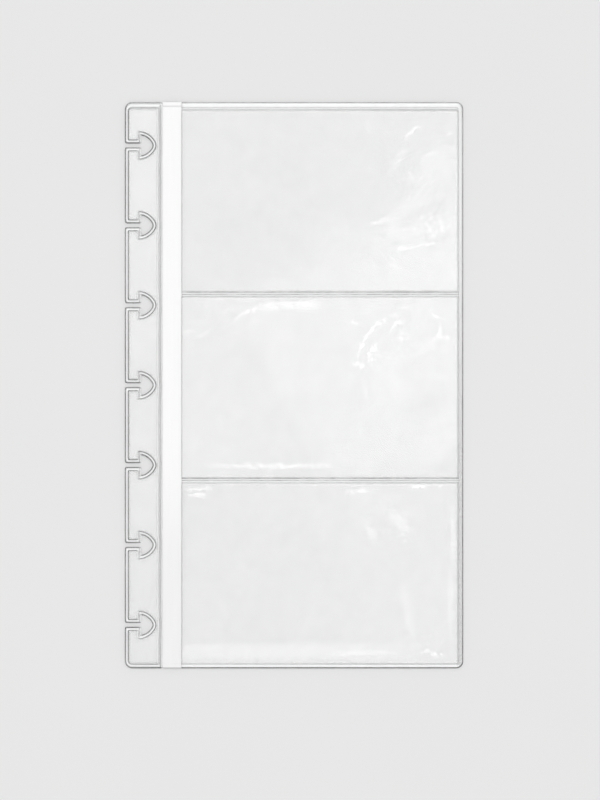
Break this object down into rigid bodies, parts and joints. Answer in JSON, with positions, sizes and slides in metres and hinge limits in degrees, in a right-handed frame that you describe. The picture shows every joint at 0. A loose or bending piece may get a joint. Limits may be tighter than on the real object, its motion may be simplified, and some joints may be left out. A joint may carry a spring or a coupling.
{
  "type": "planner card holder",
  "caption": "Clear vinyl page for a disc-bound planner: punched margin, white hinge strip and side-loading card pockets that open along one edge.",
  "frame": {"origin": "middle of the page, on its back face", "axes": "+X from the punched margin to the closed right seam, +Y up the page, +Z out of its face"},
  "size_m": [0.1076, 0.18, 0.0014],
  "materials": {
    "clear_vinyl": "glossy clear PVC film",
    "fused_vinyl": "clear PVC fused and embossed by the welding die",
    "white_vinyl": "opaque white PVC, satin gloss"
  },
  "bodies": {
    "binding": {"binding_back_spine": "clear_vinyl", "binding_back_tabs": "clear_vinyl", "binding_front_spine": "clear_vinyl", "binding_front_tabs": "clear_vinyl", "binding_edge_weld": "fused_vinyl", "notch_weld_1": "fused_vinyl", "notch_weld_2": "fused_vinyl", "notch_weld_3": "fused_vinyl", "notch_weld_4": "fused_vinyl", "notch_weld_5": "fused_vinyl", "notch_weld_6": "fused_vinyl", "notch_weld_7": "fused_vinyl", "hinge_strip": "white_vinyl"},
    "leaf": {"pocket_back_sheet": "clear_vinyl", "top_seam": "fused_vinyl", "right_seam": "fused_vinyl", "bottom_seam": "fused_vinyl", "divider_seam_1": "fused_vinyl", "divider_seam_2": "fused_vinyl"},
    "pocket_1": {"pocket_film_1": "clear_vinyl"},
    "pocket_2": {"pocket_film_2": "clear_vinyl"},
    "pocket_3": {"pocket_film_3": "clear_vinyl"}
  },
  "joints": [
    {"name": "leaf_fold", "type": "hinge", "parent": "binding", "child": "leaf", "pos_m": [-0.03875, 0, 0.00035], "axis": [0, -1, 0], "range_deg": [-90, 90], "deforming": ["hinge_strip"]},
    {"name": "pocket_1_open", "type": "hinge", "parent": "leaf", "child": "pocket_1", "pos_m": [0.05215, 0.0586, 0.00128], "axis": [0, 1, 0], "range_deg": [0, 4]},
    {"name": "pocket_2_open", "type": "hinge", "parent": "leaf", "child": "pocket_2", "pos_m": [0.05215, -0.0006, 0.00128], "axis": [0, 1, 0], "range_deg": [0, 4]},
    {"name": "pocket_3_open", "type": "hinge", "parent": "leaf", "child": "pocket_3", "pos_m": [0.05215, -0.0598, 0.00128], "axis": [0, 1, 0], "range_deg": [0, 4]}
  ]
}
